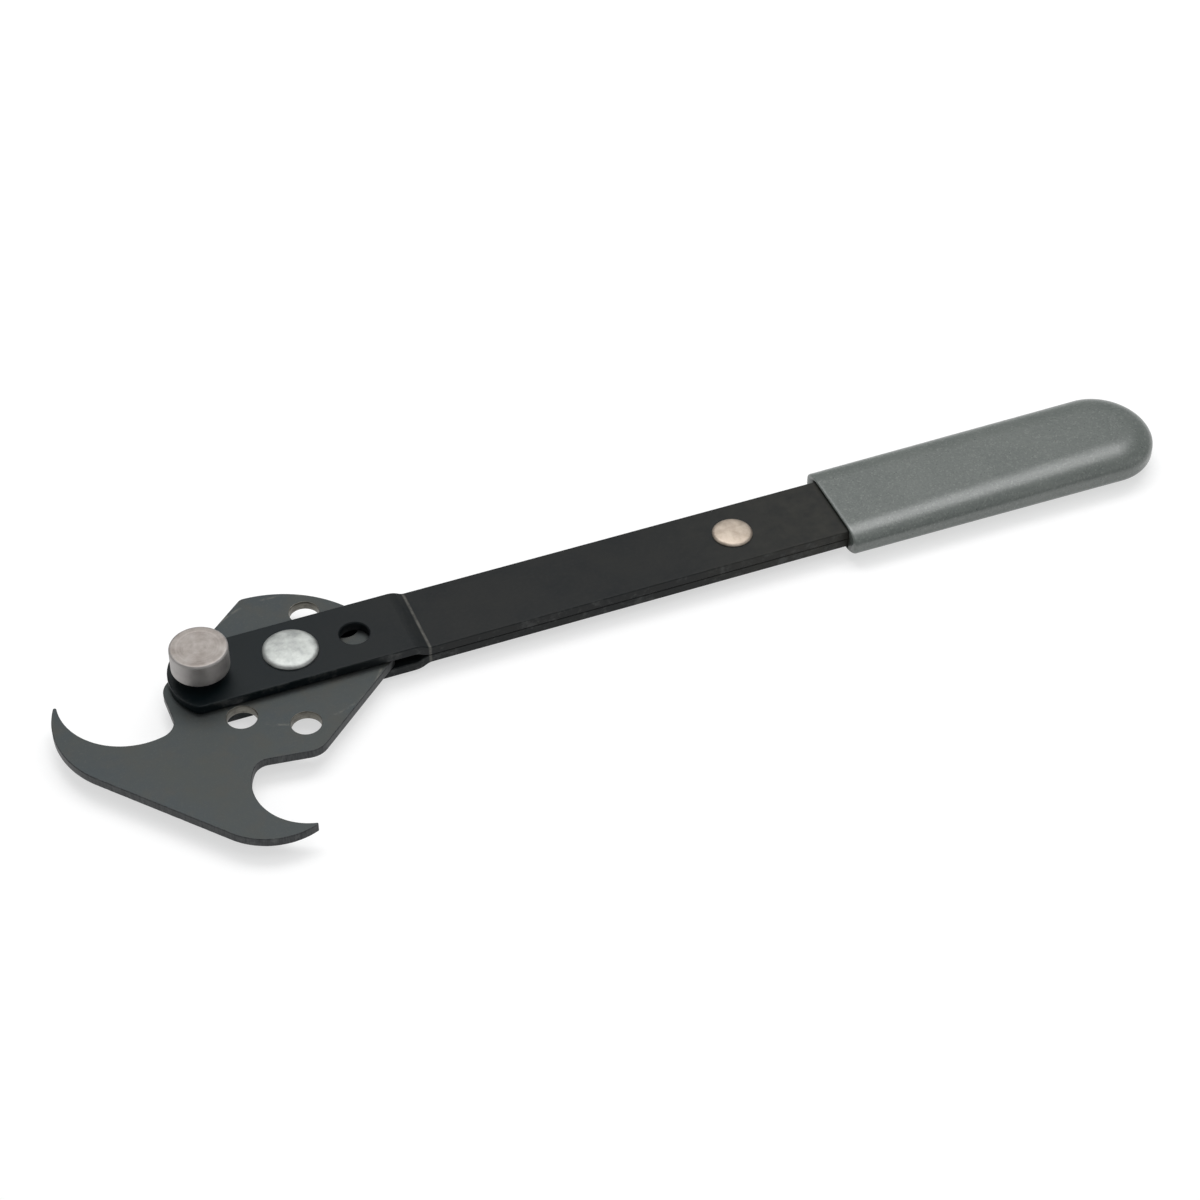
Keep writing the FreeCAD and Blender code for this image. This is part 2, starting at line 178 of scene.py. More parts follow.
def black_bar():
    """Thin black oxide on drawn flat bar, rubbed along its edges and its bend, with painted shade at
    its nose.
    """
    nose_shade_from, nose_shade_to = -0.005, 0.050
    haze_from, haze_to = 0.110, 0.172
    edge_from, edge_to = (BAR_HALF - 0.30) * MM, (BAR_HALF - 0.06) * MM
    s = Shader("black_bar", Specular_IOR_Level=0.16)
    x, y, _ = s.axes(PIVOT)
    blotch = s.noise(0.012, 4.0, 0.6)
    fine = s.noise(0.0012, 3.0, 0.6)
    drawn = s.noise(0, 3.0, 0.6, s.stretch((60, 2600, 2600)))
    tone = s.mix(s.fit(blotch, 0.35, 0.68), (0.0075, 0.0092, 0.0100), (0.0118, 0.0128, 0.0122))
    tone = s.mix(s.fit(fine, 0.45, 0.75, 0.0, 0.35), tone, (0.020, 0.020, 0.019))
    # painted shade: blacker at the nose, where the knob shades the bar; and a warm, lighter haze
    # toward the grip
    tone = s.mix(s.fit(x, nose_shade_from, nose_shade_to, 0.75, 0.0), tone, (0.0010, 0.0054, 0.0074))
    haze = s.fit(x, haze_from, haze_to)
    haze = s.math("MULTIPLY", haze, s.fit(s.noise(0.005, 4.0, 0.6), 0.32, 0.66, 0.35, 1.0))
    tone = s.mix(haze, tone, (0.0270, 0.0265, 0.0225))
    # bare metal shows through along the long edges
    side = s.fit(s.math("ABSOLUTE", y), edge_from, edge_to)
    worn = s.math("MULTIPLY", side, s.fit(s.noise(0.004, 5.0, 0.7), 0.50, 0.64))
    # and along the crease where the fork closes on to the other bar
    crease = s.math("ABSOLUTE", s.math("SUBTRACT", x, CREASE_X * MM))
    crease = s.fit(crease, 0.00018, 0.00062, 1.0, 0.0)
    crease = s.math("MULTIPLY", crease, s.fit(s.noise(0.003, 4.0, 0.7), 0.30, 0.60, 0.25, 0.8))
    tone = s.mix(s.math("MULTIPLY", worn, 0.45), tone, (0.070, 0.072, 0.070))
    tone = s.mix(crease, tone, (0.125, 0.122, 0.110))
    s.colour(tone)
    s.rough(s.math("ADD", s.fit(blotch, 0.3, 0.7, 0.36, 0.46), s.fit(fine, 0.3, 0.7, -0.03, 0.05)))
    s.bump((drawn, 0.00002, 0.35), (fine, 0.00003, 0.30))
    return s.mat


def plate_face():
    """Heat-treated flat of the hook plate: dull, mottled, with fine scale."""
    s = Shader("plate_face", Metallic=0.75)
    blotch = s.noise(0.022, 4.0, 0.62)
    warm = s.noise(0.009, 3.0, 0.6)
    fine = s.noise(0.0007, 4.0, 0.65)
    tone = s.mix(s.fit(blotch, 0.35, 0.66), (0.046, 0.054, 0.057), (0.063, 0.068, 0.064))
    tone = s.mix(s.fit(warm, 0.50, 0.72, 0.0, 0.45), tone, (0.068, 0.063, 0.053))
    tone = s.mix(s.fit(fine, 0.52, 0.74, 0.0, 0.40), tone, (0.092, 0.095, 0.090))
    # the index pin has scored a faint arc on its way from hole to hole
    r = s.radius(PIVOT)
    arc = s.math("ABSOLUTE", s.math("SUBTRACT", r, OUTER_CIRCLE * MM))
    arc = s.fit(arc, 0.0001, 0.0006, 1.0, 0.0)
    arc = s.math("MULTIPLY", arc, s.fit(s.noise(0.006, 4.0, 0.7), 0.48, 0.66, 0.0, 0.5))
    tone = s.mix(arc, tone, (0.20, 0.19, 0.165))
    s.colour(tone)
    s.rough(s.math("ADD", s.fit(blotch, 0.3, 0.7, 0.50, 0.60), s.fit(fine, 0.3, 0.7, -0.03, 0.04)))
    rolled = math.radians(PLATE_TURN - 180.0)
    grain = s.noise(0, 3.0, 0.6, s.stretch((400, 2400, 400), rotation=rolled))
    s.bump((grain, 0.00002, 0.30), (fine, 0.00003, 0.35))
    return s.mat


def plate_edge():
    """Sheared wall of the plate: upright tear lines, bright on the crests."""
    s = Shader("plate_edge", Metallic=0.85)
    lines = s.noise(0, 4.0, 0.65, s.stretch((2200, 2200, 260)))
    patch = s.noise(0.003, 3.0, 0.6)
    tone = s.mix(s.fit(lines, 0.35, 0.70), (0.030, 0.032, 0.034), (0.075, 0.078, 0.079))
    tone = s.mix(s.fit(patch, 0.54, 0.72, 0.0, 0.40), tone, (0.13, 0.134, 0.132))
    s.colour(tone)
    s.rough(s.fit(lines, 0.3, 0.7, 0.38, 0.55))
    s.bump((lines, 0.00008, 0.5))
    return s.mat


def plate_hole():
    """Reamed wall and chamfer of a hole, brown and a little warm from the heat."""
    s = Shader("plate_hole", Metallic=1.0)
    turn = s.noise(0, 3.0, 0.6, s.stretch((300, 300, 5000)))
    patch = s.noise(0.0025, 3.0, 0.6)
    tone = s.mix(s.fit(turn, 0.35, 0.68), (0.130, 0.124, 0.108), (0.230, 0.221, 0.193))
    tone = s.mix(s.fit(patch, 0.50, 0.72, 0.0, 0.6), tone, (0.075, 0.071, 0.063))
    s.colour(tone)
    s.rough(s.fit(turn, 0.3, 0.7, 0.30, 0.48))
    s.bump((turn, 0.00003, 0.4))
    return s.mat


def rivet_metal(name, low, high):
    """Satin rivet head, blotched between two tones, with press marks and fine grit."""
    s = Shader(name, Metallic=1.0)
    blotch = s.noise(0.0035, 4.0, 0.6)
    fine = s.noise(0.0005, 3.0, 0.6)
    s.colour(s.mix(s.fit(blotch, 0.34, 0.68), low, high))
    s.rough(s.math("ADD", s.fit(blotch, 0.3, 0.7, 0.48, 0.58), s.fit(fine, 0.3, 0.7, -0.03, 0.04)))
    grit = s.noise(0, 2.0, 0.6, s.stretch((1500, 1500, 1500)))
    s.bump((blotch, 0.00010, 0.35), (grit, 0.00002, 0.5), (fine, 0.00001, 0.5))
    return s.mat


def turned_metal(name, centre, low, high, base_rough):
    """Lathe-turned steel: fine rings on the faces and round the side."""
    lit_rim_from, lit_rim_to = (KNOB_R - 0.8) * MM, (KNOB_R - 0.1) * MM
    s = Shader(name, Metallic=1.0)
    r = s.radius(centre)
    ring = s.tree.nodes.new("ShaderNodeCombineXYZ")
    s.link(r, ring.inputs[0])
    _, _, z = s.axes(centre)
    s.link(z, ring.inputs[2])
    turned = s.noise(0.00016, 3.0, 0.7, ring.outputs[0])
    wide = s.noise(0.0009, 2.0, 0.5, ring.outputs[0])
    blotch = s.noise(0.0045, 4.0, 0.6)
    tone = s.mix(s.fit(blotch, 0.34, 0.68), low, high)
    tone = s.mix(s.fit(turned, 0.40, 0.70, 0.0, 0.30), tone, tuple(1.15 * c for c in high))
    # painted light: the knob's side and rounded rim are painted brighter than its face, as a painted
    # highlight where light falls on them
    tone = s.mix(s.fit(r, lit_rim_from, lit_rim_to, 0.0, 0.45), tone, (0.55, 0.54, 0.54))
    s.colour(tone)
    s.rough(s.math("ADD", s.fit(blotch, 0.3, 0.7, base_rough - 0.03, base_rough + 0.06),
                   s.fit(wide, 0.3, 0.7, -0.03, 0.03)))
    s.bump((turned, 0.00003, 0.55), (wide, 0.00004, 0.25))
    return s.mat


def grip_vinyl():
    """Speckled grey-green moulding with a fine hammered skin."""
    s = Shader("grip_vinyl", Specular_IOR_Level=0.95)
    flake = s.cells(0.00050, output="Color")
    speck = s.tree.nodes.new("ShaderNodeSeparateColor")
    s.link(flake, speck.inputs[0])
    grain = s.noise(0.0009, 3.0, 0.65)
    cloud = s.noise(0.016, 3.0, 0.55)
    tone = s.mix(s.fit(speck.outputs[0], 0.0, 1.0), (0.076, 0.090, 0.082), (0.108, 0.123, 0.112))
    tone = s.mix(s.fit(speck.outputs[1], 0.82, 1.0, 0.0, 0.6), tone, (0.185, 0.200, 0.182))
    tone = s.mix(s.fit(grain, 0.50, 0.72, 0.0, 0.40), tone, (0.066, 0.078, 0.072))
    tone = s.mix(s.fit(cloud, 0.40, 0.66, 0.0, 0.22), tone, (0.145, 0.160, 0.145))
    s.colour(tone)
    s.rough(s.fit(grain, 0.3, 0.7, 0.27, 0.36))
    pebble = s.cells(0.0011, feature="SMOOTH_F1")
    s.bump((pebble, 0.00006, 0.25), (grain, 0.00003, 0.30))
    return s.mat


# ---------------------------------------------------------------- mesh help
def make(name, bm, body, mats, stands_for):
    """Turns a bmesh into a piece that rides on a body and replaces CAD nodes."""
    mesh = bpy.data.meshes.new(name)
    bmesh.ops.recalc_face_normals(bm, faces=bm.faces)
    bm.to_mesh(mesh)
    bm.free()
    obj = bpy.data.objects.new(name, mesh)
    bpy.context.scene.collection.objects.link(obj)
    for m in mats:
        mesh.materials.append(m)
    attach(obj, body)
    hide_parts(*stands_for)
    return obj


def polar(centre, radius, angle):
    a = math.radians(angle)
    return (centre[0] + radius * math.cos(a), centre[1] + radius * math.sin(a))


def sweep_arc(centre, radius, a0, a1, step):
    """Points along an arc from a0 to a1, without its last one."""
    n = max(3, int(abs(math.radians(a1 - a0)) * radius / step) + 1)
    return [polar(centre, radius, a0 + (a1 - a0) * i / n) for i in range(n)]


def sweep_line(p, q, step):
    n = max(1, int(math.dist(p, q) / step))
    return [(p[0] + (q[0] - p[0]) * i / n, p[1] + (q[1] - p[1]) * i / n) for i in range(n)]


# ---------------------------------------------------------------- hook plate
# u runs from the pivot to the plate's long base, w across it to the small hook
PLATE_HALF = 1.5                   # half its thickness
PLATE_TURN = 220.8                 # where its u axis points, in degrees
BASE_U = 67.7
SIDE_W = 27.4
SMALL_HEEL_W, BIG_HEEL_W = 21.5, 24.2
REAR_C, REAR_R, REAR_CORNER = 9.0, 36.2, 2.5
SHOULDER_R, SHOULDER_SLOPE = 7.0, 49.0
OUTLINE_STEP, NOSE_STEP = 0.30, 0.12
EDGE_BREAK = 0.25
TEAR_DEPTH, BITE_DEPTH = 0.07, 0.20


def hook_half(heel_w, heel_r, sweep_c, sweep_r, gullet_r, gullet_w, nose_r):
    """Half of the plate's outline in its own axes, with a roughness per point."""
    heel_c = (BASE_U - heel_r, heel_w)
    apart = math.dist(heel_c, sweep_c)
    e_u, e_w = (sweep_c[0] - heel_c[0]) / apart, (sweep_c[1] - heel_c[1]) / apart
    from_heel, from_sweep = heel_r - nose_r, sweep_r + nose_r
    along = (from_heel ** 2 - from_sweep ** 2 + apart ** 2) / (2 * apart)
    off = math.sqrt(from_heel ** 2 - along ** 2)
    nose_c = (heel_c[0] + along * e_u + off * e_w, heel_c[1] + along * e_w - off * e_u)
    out_dir = math.degrees(math.atan2(nose_c[1] - heel_c[1], nose_c[0] - heel_c[0]))
    in_dir = math.degrees(math.atan2(nose_c[1] - sweep_c[1], nose_c[0] - sweep_c[0]))
    gc_w = gullet_w + gullet_r
    gc = (sweep_c[0] + math.sqrt((sweep_r - gullet_r) ** 2 - (sweep_c[1] - gc_w) ** 2), gc_w)
    beta = math.degrees(math.atan2(gc[1] - sweep_c[1], gc[0] - sweep_c[0]))
    slope_dir = 270.0 - SHOULDER_SLOPE
    g_end = polar(gc, gullet_r, slope_dir)
    s = math.radians(SHOULDER_SLOPE)
    corner_u = g_end[0] - (SIDE_W - g_end[1]) / math.tan(s)
    sh_c = (corner_u - SHOULDER_R * math.tan(s / 2), SIDE_W - SHOULDER_R)
    rise = SIDE_W - REAR_CORNER
    fc = (REAR_C - math.sqrt((REAR_R - REAR_CORNER) ** 2 - rise ** 2), rise)
    turn = math.degrees(math.atan2(rise, fc[0] - REAR_C))
    spans = [
        (sweep_arc(heel_c, heel_r, 0, out_dir, OUTLINE_STEP), 1.0),
        (sweep_arc(nose_c, nose_r, out_dir, in_dir + 180, NOSE_STEP), 0.15),
        (sweep_arc(sweep_c, sweep_r, in_dir, beta, OUTLINE_STEP), 0.25),
        (sweep_arc(gc, gullet_r, beta, slope_dir - 360, OUTLINE_STEP), 0.25),
        (sweep_line(g_end, polar(sh_c, SHOULDER_R, 90 - SHOULDER_SLOPE), OUTLINE_STEP), 0.3),
        (sweep_arc(sh_c, SHOULDER_R, 90 - SHOULDER_SLOPE, 90, OUTLINE_STEP), 0.3),
        (sweep_line((sh_c[0], SIDE_W), (fc[0], SIDE_W), OUTLINE_STEP), 0.4),
        (sweep_arc(fc, REAR_CORNER, 90, turn, OUTLINE_STEP), 0.4),
        (sweep_arc((REAR_C, 0), REAR_R, turn, 180, OUTLINE_STEP), 0.3),
    ]
    return [(p[0], p[1], rough) for points, rough in spans for p in points]


def plate_outline():
    """The whole outline as (u, w, roughness), small hook first."""
    small = hook_half(heel_w=SMALL_HEEL_W, heel_r=21.3, sweep_c=(38.8, 30.9), sweep_r=17.4,
                      gullet_r=5.0, gullet_w=13.9, nose_r=0.4)
    big = hook_half(heel_w=BIG_HEEL_W, heel_r=29.6, sweep_c=(35.0, 35.1), sweep_r=21.15,
                    gullet_r=6.0, gullet_w=15.6, nose_r=0.55)
    ring = small + [(REAR_C - REAR_R, 0.0, 0.3)]
    ring += [(u, -w, k) for u, w, k in reversed(big)]
    base = sweep_line((BASE_U, -BIG_HEEL_W), (BASE_U, SMALL_HEEL_W), OUTLINE_STEP)[1:]
    ring += [(u, w, 1.0) for u, w in base]
    return ring


def wall_levels():
    """Levels down the wall: height, inset, and share of the tearing."""
    levels = [(PLATE_HALF - EDGE_BREAK * (1 - math.cos(math.radians(30 * k))),
               EDGE_BREAK * (1 - math.sin(math.radians(30 * k))), 0.15 * k) for k in range(4)]
    rows = 7
    for k in range(1, rows):
        z = PLATE_HALF - EDGE_BREAK - (2 * PLATE_HALF - 2 * EDGE_BREAK) * k / rows
        levels.append((z, 0.0, 0.5 + 0.5 * min(1.0, k / 3)))
    return levels + [(-z, inset, 0.6) for z, inset, _ in reversed(levels[:4])]


def plate_wall(bm):
    """The rough sheared wall round the outline. Gives its loops of vertices, from the top."""
    ring = plate_outline()
    n = len(ring)
    a = math.radians(PLATE_TURN)
    ca, sa = math.cos(a), math.sin(a)
    xy = [(u * ca - w * sa, u * sa + w * ca) for u, w, _ in ring]
    normals = []
    for i in range(n):
        tx = xy[(i + 1) % n][0] - xy[i - 1][0]
        ty = xy[(i + 1) % n][1] - xy[i - 1][1]
        length = math.hypot(tx, ty)
        normals.append((ty / length, -tx / length))
    loops = []
    for z, inset, share in wall_levels():
        loop = []
        for i in range(n):
            x, y = xy[i]
            rough = ring[i][2]
            tear = 0.5 + 0.5 * wave((x, y, z * 0.35), 0.9, 3.0)
            bite = max(0.0, wave((x, y, z * 0.15), 2.6, 8.0)) ** 2
            cut = inset + rough * share * (TEAR_DEPTH * tear + BITE_DEPTH * bite)
            loop.append(bm.verts.new(at(x - normals[i][0] * cut, y - normals[i][1] * cut, z)))
        loops.append(loop)
    for upper, lower in zip(loops, loops[1:]):
        for i in range(n):
            f = bm.faces.new((upper[i], lower[i], lower[(i + 1) % n], upper[(i + 1) % n]))
            f.material_index = 1
            f.smooth = True
    return loops


def plate_holes(bm):
    """The bore and the index holes, each with a small chamfer. Gives each one's loops."""
    spots = [((0.0, 0.0), BORE_R)]
    spots += [(polar((0, 0), OUTER_CIRCLE, 180.0 + i * INDEX_STEP), INDEX_R) for i in (0, 2, 4)]
    spots += [(polar((0, 0), INNER_CIRCLE, i * INDEX_STEP), INDEX_R) for i in (1, 3)]
    steps = [(PLATE_HALF, 0.14), (PLATE_HALF - 0.06, 0.06), (PLATE_HALF - 0.15, 0.0)]
    steps += [(0.5, 0.0), (-0.5, 0.0)]
    steps += [(-z, d) for z, d in reversed(steps[:3])]
    sides = 80
    holes = []
    for spot, r in spots:
        hole = []
        for z, grow in steps:
            hole.append([bm.verts.new(at(*polar(spot, r + grow, 360 * i / sides), z))
                         for i in range(sides)])
        for upper, lower in zip(hole, hole[1:]):
            for i in range(sides):
                j = (i + 1) % sides
                f = bm.faces.new((upper[i], upper[j], lower[j], lower[i]))
                f.material_index = 2
                f.smooth = True
        holes.append(hole)
    return holes


def hook_plate():
    """The plate: its wall, its holes, and a flat face across each end of them."""
    bm = bmesh.new()
    rims = [plate_wall(bm)] + plate_holes(bm)
    bm.edges.ensure_lookup_table()
    for end in (0, -1):
        edges = []
        for loops in rims:
            loop = loops[end]
            for i, v in enumerate(loop):
                edges.append(bm.edges.get((v, loop[(i + 1) % len(loop)])))
        new = bmesh.ops.triangle_fill(bm, use_beauty=True, use_dissolve=False, edges=edges)
        for f in new["geom"]:
            if isinstance(f, bmesh.types.BMFace):
                f.material_index = 0
                f.smooth = False
    return make("head_plate", bm, "head", [plate_face(), plate_edge(), plate_hole()],
                ["hook_plate"])


# ---------------------------------------------------------------- turned pieces
RIVET_SIDES, KNOB_SIDES = 96, 144
REST_CROWN = 4.0                   # a lower crown wider than this is a flat that the tool rests on


def lathe(profile, x, sides, shape=None):
    """Revolves (radius, height) points about a vertical line at x; shape may move a point."""
    bm = bmesh.new()
    rings = []
    for r, z in profile:
        if r < 1e-6:
            rings.append([bm.verts.new(at(x, 0, z))])
            continue
        ring = []
        for i in range(sides):
            angle = 360.0 * i / sides
            rr, zz = (r, z) if shape is None else shape(r, z, angle)
            px, py = polar((x, 0), rr, angle)
            ring.append(bm.verts.new(at(px, py, zz)))
        rings.append(ring)
    for a, b in zip(rings, rings[1:]):
        for i in range(sides):
            j = (i + 1) % sides
            corners = [a[i % len(a)], a[j % len(a)], b[j % len(b)], b[i % len(b)]]
            unique = []
            for v in corners:
                if v not in unique:
                    unique.append(v)
            if len(unique) > 2:
                bm.faces.new(unique).smooth = True
    return bm


def rounded(points, steps):
    """A profile of (r, z, corner radius) points with its corners rounded."""
    out = []
    for i, (r, z, c) in enumerate(points):
        if c == 0 or i in (0, len(points) - 1):
            out.append((r, z))
            continue
        p = Vector((r, z))
        a = Vector(points[i - 1][:2]) - p
        b = Vector(points[i + 1][:2]) - p
        half = a.angle(b) / 2
        back = min(c / math.tan(half), 0.49 * a.length, 0.49 * b.length)
        start, end = p + a.normalized() * back, p + b.normalized() * back
        for k in range(steps + 1):
            t = k / steps
            q = start * (1 - t) ** 2 + p * 2 * t * (1 - t) + end * t ** 2
            out.append((q.x, q.y))
    return out


def dome(head_r, seat, rim, rise, crown_r, steps=12):
    """Upper profile of a rivet head, from its crown down to the seat."""
    points = [(crown_r * k / 4, seat + rim + rise) for k in range(5)]
    for k in range(1, steps):
        t = k / steps
        r = crown_r + (head_r - 0.12 - crown_r) * t
        points.append((r, seat + rim + rise * math.sqrt(1 - t ** 2) ** 0.85))
    points += [(head_r - 0.06, seat + rim * 0.86), (head_r, seat + rim * 0.6),
               (head_r, seat + rim * 0.25), (head_r - 0.08, seat)]
    return points


def rivet(name, stands_for, x, shank_r, head_r, seat, rim, rise, crown, low_crown, mat, seed):
    """A rivet with a domed head at each end; its lower crown may be a wide flat."""
    rests_on_crown = low_crown > REST_CROWN
    top = dome(head_r, seat, rim, rise, crown)
    low = [(r, -z) for r, z in dome(head_r, seat, rim, rise, low_crown)]
    profile = top + [(shank_r, seat), (shank_r, 0), (shank_r, -seat)] + list(reversed(low))
    limit = seat + rim + rise

    def press(r, z, angle):
        """Uneven rim and shallow press dents, always inside the CAD head."""
        px, py = polar((0, 0), r, angle)
        out = max(0.0, (r - shank_r) / (head_r - shank_r))
        if abs(z) <= seat + 1e-6:
            return r, z
        shrink = 0.012 * head_r * out * (0.5 + 0.5 * wave((px, py, 0), 0.55 * head_r, seed))
        flat = 0.5 + 0.5 * wave((px, py, math.copysign(3, z)), 0.32 * head_r, seed + 5)
        drop = 0.06 * flat * rise * min(1.0, 1.6 * r / head_r)
        if rests_on_crown and z < 0:
            drop = 0.0
        return r - shrink, math.copysign(min(limit, abs(z) - drop), z)

    bm = lathe(profile, x, RIVET_SIDES, press)
    return make(name, bm, "handle", [mat], stands_for)


KNOB_R, KNOB_LOW, KNOB_HIGH = 8.8, 8.425, 16.525
SOCKET_R, SOCKET_TOP, SOCKET_LEAD = 4.535, 13.625, 0.3
LOW_ROUND, TOP_ROUND, ROUND_REACH = 0.50, 1.15, 1.7
FACE_R, FACE_GROOVES, GROOVE_DEPTH = KNOB_R - 2.8, 22, 0.012


def knob():
    """The knob: a blind socket for the pin, rounded edges and a faced top."""
    r, low, high = KNOB_R, KNOB_LOW, KNOB_HIGH
    points = [(0, SOCKET_TOP, 0), (SOCKET_R, SOCKET_TOP, 0), (SOCKET_R, low + SOCKET_LEAD, 0),
              (SOCKET_R + SOCKET_LEAD, low, 0), (r, low, LOW_ROUND), (r, low + ROUND_REACH, 0),
              (r, high - ROUND_REACH, 0), (r, high, TOP_ROUND), (r - 2.4, high, 0),
              (r - 2.6, high - 0.02, 0), (FACE_R, high, 0)]
    profile = rounded(points, 7)
    # shallow facing grooves, left by the tool as it fed to the middle
    for k in range(1, FACE_GROOVES):
        rr = FACE_R * (1 - k / FACE_GROOVES)
        profile.append((rr, high - (GROOVE_DEPTH if k % 2 else 0.0)))
    profile.append((0, high))
    bm = lathe(profile, PIN_X, KNOB_SIDES)
    mat = turned_metal("knob_metal", at(PIN_X, 0), (0.209, 0.184, 0.168), (0.372, 0.346, 0.325), 0.54)
    return make("knob", bm, "pin", [mat], ["index_knob"])


# ---------------------------------------------------------------- grip
GRIP_X0, GRIP_X1, GRIP_X2 = 178.5, 274.6, 292.0     # mouth, start of the end cap, far end
SKIN_LEVELS = (3, 22, 14)          # steps up the side, round the corner, across the top
FLATNESS = 2.0                     # width over height of the corner ovals
LIP, STATION_STEP = 1.0, 0.7
CAP_TURNS, CAP_SPINE = 44, 0.2     # rings in a quarter of the cap, and how far its spine reaches
POCKET_END = 281.0
POCKET = (12.72, 3.195, 0.4)       # half width, half thickness and corner round the bars
MOUTH = (13.2, 3.675, 0.7)         # the same in the wider mouth
MOUTH_EDGE = (13.28, 3.70, 0.75)
MOUTH_DEPTH = 3.0
HOLLOW, SWELL, PEEL = 0.10, 0.05, 0.02              # how far the skin may sink in, by cause


def body_size(x):
    """Half width, half thickness and corner oval of the moulding at x."""
    t = (x - GRIP_X0) / (GRIP_X1 - GRIP_X0)
    return 18.2 + 0.1 * t, 4.58 + 1.82 * t, 7.6 + 3.2 * t


def grip_stations():
    """Rings from the blind end of the core, out over the lip and round the end.
    Each is (outline point, inward direction, spine point, half thickness, round, skin)."""
    rings = []

    def ring(x, w, t, r, skin):
        rings.append(((x, -w), (0.0, 1.0), (x, 0.0), t, r, skin))

    ring(POCKET_END, 0.0, 0.0, 0.0, 0)
    for x in (POCKET_END, 255.0, 230.0, 205.0, GRIP_X0 + MOUTH_DEPTH):
        ring(x, *POCKET, 0)
    for x in (MOUTH_DEPTH, 2.0, 1.0, 0.35):
        ring(GRIP_X0 + x, *MOUTH, 0)
    ring(GRIP_X0 + 0.08, *MOUTH_EDGE, 0)
    w0, t0, r0 = body_size(GRIP_X0)
    for k in range(7):
        a = math.radians(15 * k)
        d = LIP * (1 - math.sin(a))
        ring(GRIP_X0 + LIP * (1 - math.cos(a)), w0 - d, t0 - d / FLATNESS, r0 - d, 0 if k < 2 else 1)
    n = int((GRIP_X1 - GRIP_X0 - LIP) / STATION_STEP)
    for k in range(1, n + 1):
        x = GRIP_X0 + LIP + (GRIP_X1 - GRIP_X0 - LIP) * k / n
        ring(x, *body_size(x), 1)
    # end cap: half an ellipse in plan, with the same round all the way
    a, (b, t, r) = GRIP_X2 - GRIP_X1, body_size(GRIP_X1)
    half = len(rings)
    for k in range(1, 2 * CAP_TURNS):
        u = math.pi * k / (2 * CAP_TURNS) - math.pi / 2
        p = (GRIP_X1 + a * math.cos(u), b * math.sin(u))
        nx, ny = math.cos(u) / a, math.sin(u) / b
        length = math.hypot(nx, ny)
        spine = (GRIP_X1 + CAP_SPINE * a * math.cos(u), 0.0)
        rings.append((p, (-nx / length, -ny / length), spine, t, r, 1))
    for p, _, spine, t, r, skin in reversed(rings[:half]):
        rings.append(((p[0], -p[1]), (0.0, -1.0), spine, t, r, skin))
    return rings


def grip_row(station):
    """Upper half of a ring: up its side, round its corner and across to its spine."""
    n_side, n_arc, n_top = SKIN_LEVELS
    (px, py), (nx, ny), (sx, sy), t, r, _ = station
    row = []
    for k in range(n_side):
        row.append((px, py, (t - r / FLATNESS) * k / n_side))
    for k in range(n_arc):
        a = math.pi / 2 * k / n_arc
        d = r * (1 - math.cos(a))
        row.append((px + nx * d, py + ny * d, t - r * (1 - math.sin(a)) / FLATNESS))
    tx, ty = px + nx * r, py + ny * r
    for k in range(n_top + 1):
        f = k / n_top
        row.append((tx + (sx - tx) * f, ty + (sy - ty) * f, t))
    return row


def skin_sink(x, y, z):
    """How far the skin lies inside the CAD: sunk between the bars' edges, never quite even."""
    hollow = HOLLOW * math.exp(-((z / 2.2) ** 2)) * min(1.0, max(0.0, (GRIP_X1 - x) / 30))
    slow = SWELL * (0.5 + 0.5 * wave((x, y, z), 14.0, 2.0))
    peel = PEEL * (0.5 + 0.5 * wave((x, y, z), 1.5, 6.0))
    edge = min(1.0, max(0.0, (x - GRIP_X0) / 2.0))
    return (hollow + slow + peel) * edge


def grip():
    """The sleeve: upper and lower halves of every ring, joined and given an uneven skin."""
    bm = bmesh.new()
    layer = bm.verts.layers.float.new("skin")
    grids = []
    for sign in (1, -1):
        grid = []
        for station in grip_stations():
            verts = []
            for x, y, z in grip_row(station):
                v = bm.verts.new((x, y, sign * z))
                v[layer] = station[-1]
                verts.append(v)
            grid.append(verts)
        grids.append(grid)
    for grid in grids:
        for a, b in zip(grid, grid[1:]):
            for k in range(len(a) - 1):
                bm.faces.new((a[k], b[k], b[k + 1], a[k + 1]))
    bmesh.ops.remove_doubles(bm, verts=bm.verts, dist=0.0005)
    bmesh.ops.recalc_face_normals(bm, faces=bm.faces)
    bm.normal_update()
    moves = []
    for v in bm.verts:
        if v[layer] < 0.5:
            moves.append(Vector((0, 0, 0)))
        else:
            moves.append(-v.normal * skin_sink(*v.co))
    for v, m in zip(bm.verts, moves):
        v.co = at(*(v.co + m))
    for f in bm.faces:
        f.smooth = True
    return make("grip_sleeve", bm, "handle", [grip_vinyl()], ["grip"])


# ---------------------------------------------------------------- build
hook_plate()
pivot_metal = rivet_metal("pivot_metal", (0.312, 0.325, 0.314), (0.513, 0.529, 0.509))
rivet("pivot_head", ["pivot_rivet"], 0.0, shank_r=5.0, head_r=PIVOT_HEAD_R, seat=4.825,
      rim=0.7, rise=0.875, crown=1.0, low_crown=4.5, mat=pivot_metal, seed=1.0)
bar_metal = rivet_metal("bar_rivet_metal", (0.35, 0.295, 0.242), (0.52, 0.450, 0.380))
rivet("bar_rivet", ["handle_rivet"], BAR_RIVET_X, shank_r=3.5, head_r=BAR_HEAD_R, seat=3.175,
      rim=0.5, rise=0.7, crown=1.0, low_crown=1.0, mat=bar_metal, seed=12.0)
knob()
grip()

